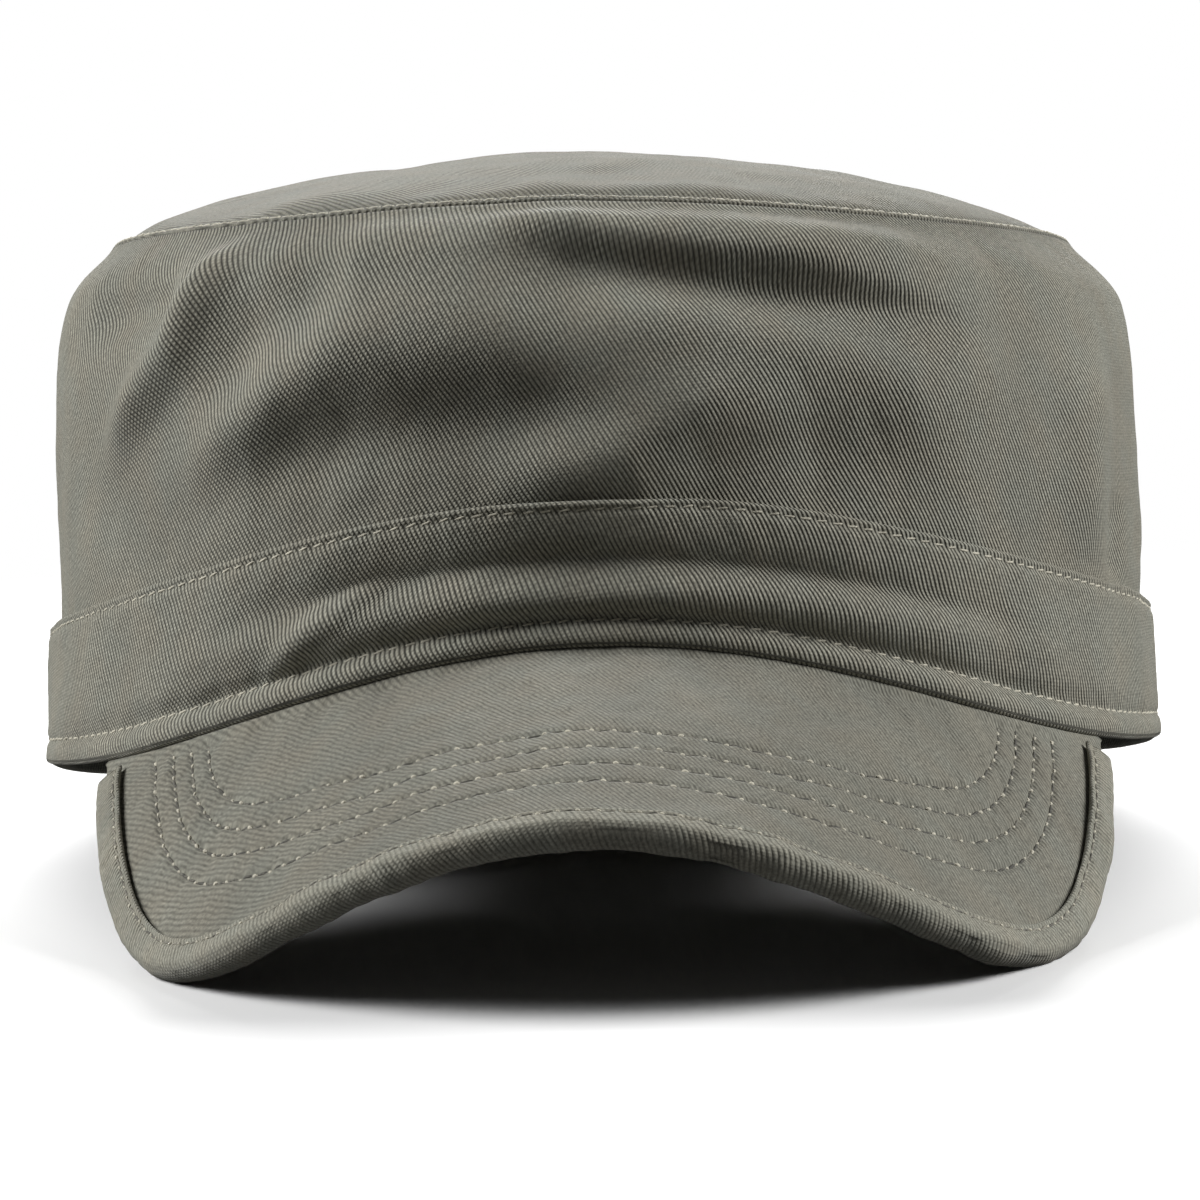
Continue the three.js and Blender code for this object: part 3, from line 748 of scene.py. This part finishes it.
def peak_relief(sweep, inset):
    along = np.interp(sweep, SWEEP_TABLE, EDGE_LENGTH_TABLE)
    relief = 0.12 * unevenness(along, inset, 22, 51) + 0.05 * unevenness(along, inset, 6, 52)
    for k, row in enumerate(PEAK_ROWS):
        beside = inset - row_inset(row, sweep)
        phase = np.interp(sweep, SWEEP_TABLE, ROW_LENGTHS[k]) / PEAK_PITCH
        holes = 0.5 + 0.5 * np.cos(2 * math.pi * phase)
        relief = relief - bell(beside, 0.5) * (0.36 + 0.1 * holes)
        relief = relief + 0.07 * unevenness(along, inset / 3, 3.6, 53 + k) * bell(beside, 2.4)
    return relief


# %% Peak cloth
ROOT_RISE = 0.6
PEAK_COLUMNS, ROW_POINTS = 460, 1600
sweeps = np.linspace(-math.pi / 2, math.pi / 2, PEAK_COLUMNS)
widths = np.interp(sweeps, SWEEP_TABLE, WIDTH_TABLE)
edge = np.minimum(TAPE + GAP, widths / 2)
top_shares, under_shares = np.linspace(0, 1, 110), np.linspace(1, 0, 24)
shares = np.concatenate([top_shares, under_shares])
inset = edge[:, None] + (widths - edge)[:, None] * shares
sweep = np.broadcast_to(sweeps[:, None], inset.shape)
on_top = np.arange(len(shares)) < len(top_shares)
# The relief fades out under the tape and under the band.
inside_tape = smoothstep(inset, TAPE_REACH - 0.4, TAPE_REACH + 1.2)
before_band = smoothstep(widths[:, None] - inset, 0.2, 2.5)
relief = peak_relief(sweep, inset) * inside_tape * before_band * on_top
# At the root it rises into the band's foot, where it is sewn in.
tucked = ROOT_RISE * (1 - smoothstep(widths[:, None] - inset, 0.3, 2.6)) * on_top
points = peak_point(sweep, inset, np.where(on_top, PEAK_BOARD / 2, -PEAK_BOARD / 2) + relief + tucked)
middle_line = np.stack([points[..., 0], points[..., 1] * 1.03], -1)
peak = skin("peak_cloth", points[:, ::-1], middle_line[:, ::-1], relief[:, ::-1], closed=False)
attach(peak, "root")
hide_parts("peak")

# %% Peak stitches
rows = []
for k, row in enumerate(PEAK_ROWS):
    insets = row_inset(row, SWEEP_TABLE)
    shown = WIDTH_TABLE - insets > 0.4
    fine = np.linspace(SWEEP_TABLE[shown][0], SWEEP_TABLE[shown][-1], ROW_POINTS)
    fine_insets = row_inset(row, fine)
    path = peak_point(fine, fine_insets, PEAK_BOARD / 2 + peak_relief(fine, fine_insets))
    aside = peak_point(fine, fine_insets + 0.3, PEAK_BOARD / 2 + peak_relief(fine, fine_insets))
    normals = outward_along(path, aside)
    # A low tone paints these stitches near black: painted shade of thread sunk into the cloth.
    rows.append(thread_row(path, normals, PEAK_PITCH, 0.46, 0.6, 61 + k, tone=-1, knot=0.62))
peak_stitches = thread_mesh("peak_stitches", rows)
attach(peak_stitches, "root")

# %% [markdown]
# ## Tape
#
# A strip of bias-cut twill is folded over the peak's edge and stitched down along its inner edge.
# Round the fold it is stretched, so its ribs stand out across the edge. The profile is a narrow C
# with a rounded back.

# %% Tape
TAPE_ROW = TAPE_REACH - 0.9
TAPE_PITCH = 2.9


def tape_profile():
    """Insets and heights round the tape: outside from the lower leg to the upper leg, then inside."""
    slot = RIM - TAPE
    back = np.radians(np.linspace(-90, 90, 25))
    arc = np.stack([RIM * 0.92 * (1 - np.cos(back)) * TAPE_ROUND / RIM * 1.4, RIM * np.sin(back)], -1)
    leg_end = TAPE_REACH - 0.35
    legs = np.linspace(leg_end, arc[-1, 0] + 0.25, 14)
    nose = np.radians(np.linspace(0, 180, 7)[1:-1])
    tip_heights = (RIM + slot) / 2 + (RIM - slot) / 2 * np.cos(nose)
    tip = np.stack([leg_end + 0.45 * np.sin(nose), tip_heights], -1)
    upper = np.stack([legs[::-1], np.full(14, RIM)], -1)
    lower = upper[::-1] * [1, -1]
    inner = np.array([[leg_end, slot], [TAPE_ROUND, slot], [TAPE, slot * 0.8], [TAPE, 0]])
    inside = np.concatenate([inner, inner[-2::-1] * [1, -1]])
    return np.concatenate([lower, arc, upper, tip, inside, (tip * [1, -1])[::-1]])


def tape_relief(sweep, inset, height):
    along = np.interp(sweep, SWEEP_TABLE, EDGE_LENGTH_TABLE)
    relief = 0.1 * unevenness(along, inset, 14, 71) + 0.05 * unevenness(along, inset / 3, 4, 72)
    beside = inset - TAPE_ROW
    holes = 0.5 + 0.5 * np.cos(2 * math.pi * along / TAPE_PITCH)
    return relief - bell(beside, 0.45) * (0.16 + 0.14 * holes) * (height > 0)


profile = tape_profile()
room = TAPE_REACH + BAND_CLOTH + 2 * GAP
taped = SWEEP_TABLE[WIDTH_TABLE > room]
sweeps = np.linspace(taped[0], taped[-1], PEAK_COLUMNS)
sweep = np.broadcast_to(sweeps[:, None], (PEAK_COLUMNS, len(profile)))
inset, height = profile[:, 0], profile[:, 1]
outside = np.hypot(inset - TAPE_REACH, height) > RIM - 0.3
outside = outside & ((np.abs(height) > RIM - 0.3) | (inset < TAPE - 0.01))
relief = tape_relief(sweep, inset, height) * outside
grown = height + np.sign(height) * relief * (np.abs(height) > RIM * 0.5)
points = peak_point(sweep, inset - relief * (np.abs(height) <= RIM * 0.5), grown)
points[..., 2] = np.maximum(points[..., 2], 0)
lengths = np.concatenate([[0], np.cumsum(np.linalg.norm(np.diff(profile, axis=0), axis=1))])
along = np.interp(sweeps, SWEEP_TABLE, EDGE_LENGTH_TABLE)
cloth = np.stack(np.broadcast_arrays(along[:, None], lengths[None]), -1)
tape = skin("binding_tape", points, cloth, relief, closed=False)
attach(tape, "root")
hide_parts("peak_binding")

fine = np.linspace(sweeps[0], sweeps[-1], ROW_POINTS)
row_height = RIM + tape_relief(fine, TAPE_ROW, 1)
path = peak_point(fine, np.full(ROW_POINTS, TAPE_ROW), row_height)
aside = peak_point(fine, np.full(ROW_POINTS, TAPE_ROW + 0.3), row_height)
# A low tone paints these stitches dark: painted shade of thread sunk into the cloth.
row = thread_row(path, outward_along(path, aside), TAPE_PITCH, 0.36, 0.4, 73, tone=-0.6, knot=0.45)
tape_stitches = thread_mesh("tape_stitches", [row])
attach(tape_stitches, "root")


# %% [markdown]
# ## Twill
#
# Twill shows as fine slanting ribs. Each rib is a row of short floats, where a yarn passes over
# others, and each rib's floats are set off from the last one's. The group below weaves this from the
# flat position of the cloth in millimetres. It puts out a height and masks only, and each material
# decides what to do with them, so the same weave serves the crown, the band, the peak and the tape.

# %% Node helpers
def add_node(tree, kind, *values, **settings):
    """Adds a node. Values go into its inputs in order: a socket is linked, None leaves the input."""
    node = tree.nodes.new(kind)
    for name, value in settings.items():
        setattr(node, name, value)
    for socket, value in zip(node.inputs, values):
        if isinstance(value, bpy.types.NodeSocket):
            tree.links.new(value, socket)
        elif value is not None:
            socket.default_value = value
    return node


def maths(tree, operation, *values):
    return add_node(tree, "ShaderNodeMath", *values, operation=operation).outputs[0]


def wave(tree, phase):
    """Between 0 and 1, once for each unit of the phase."""
    turned = maths(tree, "MULTIPLY", phase, 2 * math.pi)
    return maths(tree, "MULTIPLY_ADD", maths(tree, "COSINE", turned), 0.5, 0.5)


def new_group(name, inputs, outputs):
    tree = bpy.data.node_groups.new(name, "ShaderNodeTree")
    for label, kind, default in inputs:
        socket = tree.interface.new_socket(label, in_out="INPUT", socket_type=kind)
        if default is not None:
            socket.default_value = default
    for label, kind in outputs:
        tree.interface.new_socket(label, in_out="OUTPUT", socket_type=kind)
    return tree, tree.nodes.new("NodeGroupInput").outputs, tree.nodes.new("NodeGroupOutput").inputs


FLOAT, VECTOR, COLOR = "NodeSocketFloat", "NodeSocketVector", "NodeSocketColor"

# %% Twill group
twill, given, puts = new_group(
    "twill_weave",
    [
        ("Cloth", VECTOR, None), ("Rib angle", FLOAT, 60), ("Rib pitch", FLOAT, 0.7),
        ("Float length", FLOAT, 0.52),
    ],
    [("Height", FLOAT), ("Rib", FLOAT), ("Yarn", FLOAT)],
)
split = add_node(twill, "ShaderNodeSeparateXYZ", given["Cloth"]).outputs
angle = maths(twill, "RADIANS", given["Rib angle"])
sine, cosine = maths(twill, "SINE", angle), maths(twill, "COSINE", angle)
over_ribs = maths(twill, "MULTIPLY_ADD", split[0], sine, maths(twill, "MULTIPLY", split[1], cosine))
down_rib = maths(twill, "MULTIPLY", split[1], sine)
along_rib = maths(twill, "SUBTRACT", maths(twill, "MULTIPLY", split[0], cosine), down_rib)
slow = add_node(twill, "ShaderNodeTexNoise", given["Cloth"], None, 0.03, 1.0)
drift = maths(twill, "MULTIPLY", maths(twill, "SUBTRACT", slow.outputs[0], 0.5), 2.0)
phase = maths(twill, "ADD", maths(twill, "DIVIDE", over_ribs, given["Rib pitch"]), drift)
rib = wave(twill, phase)
offset = maths(twill, "MULTIPLY", maths(twill, "FLOOR", maths(twill, "ADD", phase, 0.5)), 0.37)
beat = maths(twill, "ADD", maths(twill, "DIVIDE", along_rib, given["Float length"]), offset)
floats = wave(twill, beat)
yarn_x = maths(twill, "MULTIPLY", along_rib, 1.3)
yarn_y = maths(twill, "MULTIPLY", over_ribs, 2.6)
yarn_place = add_node(twill, "ShaderNodeCombineXYZ", yarn_x, yarn_y).outputs[0]
yarn = add_node(twill, "ShaderNodeTexNoise", yarn_place, None, 1.0, 3.0).outputs[0]
rounded = maths(twill, "POWER", rib, 0.6)
height = maths(twill, "MULTIPLY", rounded, maths(twill, "MULTIPLY_ADD", floats, 0.35, 0.65))
height = maths(twill, "MULTIPLY_ADD", yarn, 0.3, height)
shown = maths(twill, "MULTIPLY", rounded, maths(twill, "MULTIPLY_ADD", floats, 0.2, 0.8))
for output, value in zip(puts, (height, shown, yarn)):
    twill.links.new(value, output)

print("twill_weave gives:", ", ".join(socket.name for socket in puts if socket.name))

# %% [markdown]
# ## Wash and wear, and painted shade between the ribs
#
# Garment-dyed cotton fades where it is rubbed and stays dark where it is protected. The second group
# takes the relief that was stored with each mesh, adds soft patches, darkens the gaps between the
# twill's ribs as painted shade, and puts out one colour.

# %% Wear and painted gap shade group
wear_and_gap_shade, given, puts = new_group(
    "washed_colour_and_gap_shade",
    [
        ("Cloth", VECTOR, None), ("Rib", FLOAT, 0.5), ("Yarn", FLOAT, 0.5), ("Relief", FLOAT, 0),
        ("Deep", COLOR, (0.1, 0.1, 0.1, 1)), ("Worn", COLOR, (0.3, 0.3, 0.3, 1)), ("Gap shade", FLOAT, 0.4),
    ],
    [("Color", COLOR)],
)
patches = add_node(wear_and_gap_shade, "ShaderNodeTexNoise", given["Cloth"], None, 0.05, 4.0).outputs[0]
specks = add_node(wear_and_gap_shade, "ShaderNodeTexNoise", given["Cloth"], None, 2.2, 2.0).outputs[0]
fade = maths(wear_and_gap_shade, "MULTIPLY_ADD", maths(wear_and_gap_shade, "SUBTRACT", patches, 0.5), 1.2, 0.5)
fade = add_node(
    wear_and_gap_shade, "ShaderNodeMath", given["Relief"], 0.3, fade, operation="MULTIPLY_ADD", use_clamp=True
).outputs[0]
mixed = add_node(wear_and_gap_shade, "ShaderNodeMix", data_type="RGBA")
for number, value in ((0, fade), (6, given["Deep"]), (7, given["Worn"])):
    wear_and_gap_shade.links.new(value, mixed.inputs[number])
# The gaps between the ribs are darkened in the colour: painted shade, added to the bump's own shading.
painted_gap_shade = add_node(wear_and_gap_shade, "ShaderNodeMapRange", given["Rib"], 0.0, 1.0, given["Gap shade"], 1.1).outputs[0]
fibres = maths(wear_and_gap_shade, "MULTIPLY_ADD", maths(wear_and_gap_shade, "SUBTRACT", given["Yarn"], 0.5), 1.3, 1.0)
fibres = maths(wear_and_gap_shade, "MULTIPLY_ADD", maths(wear_and_gap_shade, "SUBTRACT", specks, 0.5), 0.8, fibres)
brightness = maths(wear_and_gap_shade, "MULTIPLY", painted_gap_shade, fibres)
hue = add_node(wear_and_gap_shade, "ShaderNodeTexNoise", given["Cloth"], None, 0.11, 3.0).outputs[0]
hue = add_node(wear_and_gap_shade, "ShaderNodeMapRange", hue, 0.35, 0.65, 0.0, 1.0).outputs[0]
tint = add_node(wear_and_gap_shade, "ShaderNodeMix", data_type="RGBA")
wear_and_gap_shade.links.new(hue, tint.inputs[0])
tint.inputs[6].default_value = (1.02, 0.995, 0.97, 1)
tint.inputs[7].default_value = (0.985, 1.005, 1.01, 1)
tinted = add_node(wear_and_gap_shade, "ShaderNodeVectorMath", mixed.outputs[2], tint.outputs[2], operation="MULTIPLY")
scaled = add_node(wear_and_gap_shade, "ShaderNodeVectorMath", tinted.outputs[0], operation="SCALE")
wear_and_gap_shade.links.new(brightness, scaled.inputs["Scale"])
wear_and_gap_shade.links.new(scaled.outputs[0], puts[0])
print("washed_colour_and_gap_shade gives:", ", ".join(socket.name for socket in puts if socket.name))


# %% [markdown]
# ## Cloth materials
#
# All five pieces are of one cloth, and the ribs of each run in their own direction, because each was
# cut from the cloth another way. The top and the peak, which face up to the lights, get darker copies
# of its colours: painted shade. The tape is a little darker than the crown and the band. So one
# function builds a material from both groups, and each piece calls it with its own values. The ribs
# are raised with a bump, since they are 0.7 mm apart: as geometry they would take millions of faces.

# %% Cloth materials
def cloth_material(name, deep, worn, rib_angle, rib_pitch, depth=0.2, gap_shade=0.42):
    material = bpy.data.materials.new(name)
    material.use_nodes = True
    tree = material.node_tree
    shader = tree.nodes["Principled BSDF"]
    place = add_node(tree, "ShaderNodeUVMap", uv_map="cloth").outputs[0]
    relief = add_node(tree, "ShaderNodeAttribute", attribute_name="relief").outputs["Fac"]
    woven = add_node(tree, "ShaderNodeGroup", node_tree=twill)
    tree.links.new(place, woven.inputs["Cloth"])
    woven.inputs["Rib angle"].default_value = rib_angle
    woven.inputs["Rib pitch"].default_value = rib_pitch
    washed_and_gap_shaded = add_node(tree, "ShaderNodeGroup", node_tree=wear_and_gap_shade)
    for label in ("Rib", "Yarn"):
        tree.links.new(woven.outputs[label], washed_and_gap_shaded.inputs[label])
    tree.links.new(place, washed_and_gap_shaded.inputs["Cloth"])
    tree.links.new(relief, washed_and_gap_shaded.inputs["Relief"])
    washed_and_gap_shaded.inputs["Deep"].default_value = (*deep, 1)
    washed_and_gap_shaded.inputs["Worn"].default_value = (*worn, 1)
    washed_and_gap_shaded.inputs["Gap shade"].default_value = gap_shade
    tree.links.new(washed_and_gap_shaded.outputs["Color"], shader.inputs["Base Color"])
    dent = add_node(tree, "ShaderNodeBump")
    dent.inputs["Strength"].default_value = 1
    dent.inputs["Distance"].default_value = depth * MM
    tree.links.new(woven.outputs["Height"], dent.inputs["Height"])
    tree.links.new(dent.outputs[0], shader.inputs["Normal"])
    shader.inputs["Roughness"].default_value = 0.92
    shader.inputs["Specular IOR Level"].default_value = 0.15
    shader.inputs["Sheen Weight"].default_value = 0.12
    shader.inputs["Sheen Roughness"].default_value = 0.5
    return material


OLIVE = np.array((0.32, 0.312, 0.259))
crown_twill = cloth_material("crown_twill", OLIVE * 0.88, OLIVE * 1.2, 57, 0.7, gap_shade=0.16)
band_twill = cloth_material("band_twill", OLIVE * 0.9, OLIVE * 1.22, 61, 0.71, gap_shade=0.16)
# The top and the peak are darker copies of the crown's cloth: painted shade on the faces turned up.
top_twill_shaded = cloth_material("top_twill_shaded", OLIVE * 0.62, OLIVE * 0.84, 57, 0.7)
peak_twill_shaded = cloth_material("peak_twill_shaded", OLIVE * 0.56, OLIVE * 0.77, 58, 0.7, depth=0.1, gap_shade=0.65)
tape_twill = cloth_material("tape_twill", OLIVE * 0.72, OLIVE * 1.02, 68, 0.8, depth=0.14, gap_shade=0.66)
dressed = (
    (crown_side, crown_twill), (band, band_twill), (crown_top, top_twill_shaded), (peak, peak_twill_shaded),
    (tape, tape_twill),
)
for piece, material in dressed:
    piece.data.materials.append(material)
print("cloth materials:", ", ".join(material.name for _, material in dressed))

# %% [markdown]
# ## Thread material
#
# The thread is light and a little hairy. The tone that is stored with each stitch mixes it with a
# near-black colour, which is painted shade: the stitches of the peak and the tape are sunk into the
# cloth and drawn almost black. A fine noise makes the hair.

# %% Thread material
thread = bpy.data.materials.new("thread")
thread.use_nodes = True
tree = thread.node_tree
shader = tree.nodes["Principled BSDF"]
tone = add_node(tree, "ShaderNodeAttribute", attribute_name="tone").outputs["Fac"]
where = add_node(tree, "ShaderNodeTexCoord").outputs["Object"]
fuzz = add_node(tree, "ShaderNodeTexNoise", where, None, 2500.0, 3.0).outputs[0]
share = add_node(
    tree, "ShaderNodeMath", tone, 0.45, fuzz, operation="MULTIPLY_ADD", use_clamp=True
).outputs[0]
shade = add_node(tree, "ShaderNodeMix", data_type="RGBA")
tree.links.new(share, shade.inputs[0])
# Near black: painted shade for sunk stitches.
shade.inputs[6].default_value = (0.05, 0.047, 0.037, 1)
shade.inputs[7].default_value = (0.55, 0.52, 0.42, 1)
tree.links.new(shade.outputs[2], shader.inputs["Base Color"])
shader.inputs["Roughness"].default_value = 0.7
dent = add_node(tree, "ShaderNodeBump")
dent.inputs["Strength"].default_value = 0.6
dent.inputs["Distance"].default_value = 0.0001
tree.links.new(fuzz, dent.inputs["Height"])
tree.links.new(dent.outputs[0], shader.inputs["Normal"])
for piece in (band_stitches, top_stitches, peak_stitches, tape_stitches):
    piece.data.materials.append(thread)

# %% [markdown]
# ## Table and light
#
# The cap is lit by two large soft lights, one on each side, and a third one behind it. Little light
# comes from the camera's side, which leaves the front of the crown darker than its shoulders and
# brings out the folds.
#
# The photograph has a bright, even ground, as if it had been lit by itself. So the table is pale for
# the camera and dark for the light that it would throw up under the peak, and it fades out before
# its edge. The backdrop is white for the camera, and gives the cap only a little light.

# %% Table
table_mesh = bpy.data.meshes.new("table")
half = 6
corners = [(-half, -half, 0), (half, -half, 0), (half, half, 0), (-half, half, 0)]
table_mesh.from_pydata(corners, [], [(0, 1, 2, 3)])
table = bpy.data.objects.new("table", table_mesh)
bpy.context.scene.collection.objects.link(table)
pale = bpy.data.materials.new("pale_table")
pale.use_nodes = True
tree = pale.node_tree
shader = tree.nodes["Principled BSDF"]
shader.inputs["Roughness"].default_value = 0.9
sight = add_node(tree, "ShaderNodeLightPath").outputs["Is Camera Ray"]
shade = add_node(tree, "ShaderNodeMix", data_type="RGBA")
tree.links.new(sight, shade.inputs[0])
shade.inputs[6].default_value = (0.12, 0.12, 0.12, 1)
shade.inputs[7].default_value = (1, 1, 1, 1)
tree.links.new(shade.outputs[2], shader.inputs["Base Color"])
spot = add_node(tree, "ShaderNodeTexCoord").outputs["Object"]
away = add_node(tree, "ShaderNodeVectorMath", spot, operation="LENGTH").outputs["Value"]
far = add_node(tree, "ShaderNodeMapRange", away, 0.2, 0.45, 0.0, 1.0).outputs[0]
clear = add_node(tree, "ShaderNodeBsdfTransparent").outputs[0]
blend = add_node(tree, "ShaderNodeMixShader", far, shader.outputs[0], clear).outputs[0]
tree.links.new(blend, tree.nodes["Material Output"].inputs["Surface"])
table.data.materials.append(pale)


# %% Lights
def soft_light(name, where, size, power, towards=(0, 0, 0.05)):
    data = bpy.data.lights.new(name, "AREA")
    data.shape = "RECTANGLE"
    data.size, data.size_y = size
    data.energy = power
    light = bpy.data.objects.new(name, data)
    light.location = where
    direction = Matrix.Translation(towards).translation - light.location
    light.rotation_euler = direction.to_track_quat("-Z", "Y").to_euler()
    bpy.context.scene.collection.objects.link(light)
    return light


soft_light("left_light", (-1.25, -0.03, 0.76), (0.8, 0.7), 27.5)
soft_light("right_light", (1.25, -0.03, 0.76), (0.8, 0.7), 26)
soft_light("rear_light", (0, 1.4, 0.66), (1.1, 0.4), 26)

# %% Backdrop
world = bpy.data.worlds.new("studio")
bpy.context.scene.world = world
world.use_nodes = True
tree = world.node_tree
backdrop = tree.nodes["Background"]
backdrop.inputs[0].default_value = (1, 1, 1, 1)
sight = add_node(tree, "ShaderNodeLightPath").outputs["Is Camera Ray"]
strength = add_node(tree, "ShaderNodeMapRange", sight, 0.0, 1.0, 0.03, 1.0).outputs[0]
tree.links.new(strength, backdrop.inputs[1])
bpy.context.scene.view_settings.view_transform = "Standard"

# %% [markdown]
# ## Size
#
# The cloth may stand a little proud of the solid model, but it mustn't change the cap's size.

# %% Finish
bpy.context.view_layer.update()
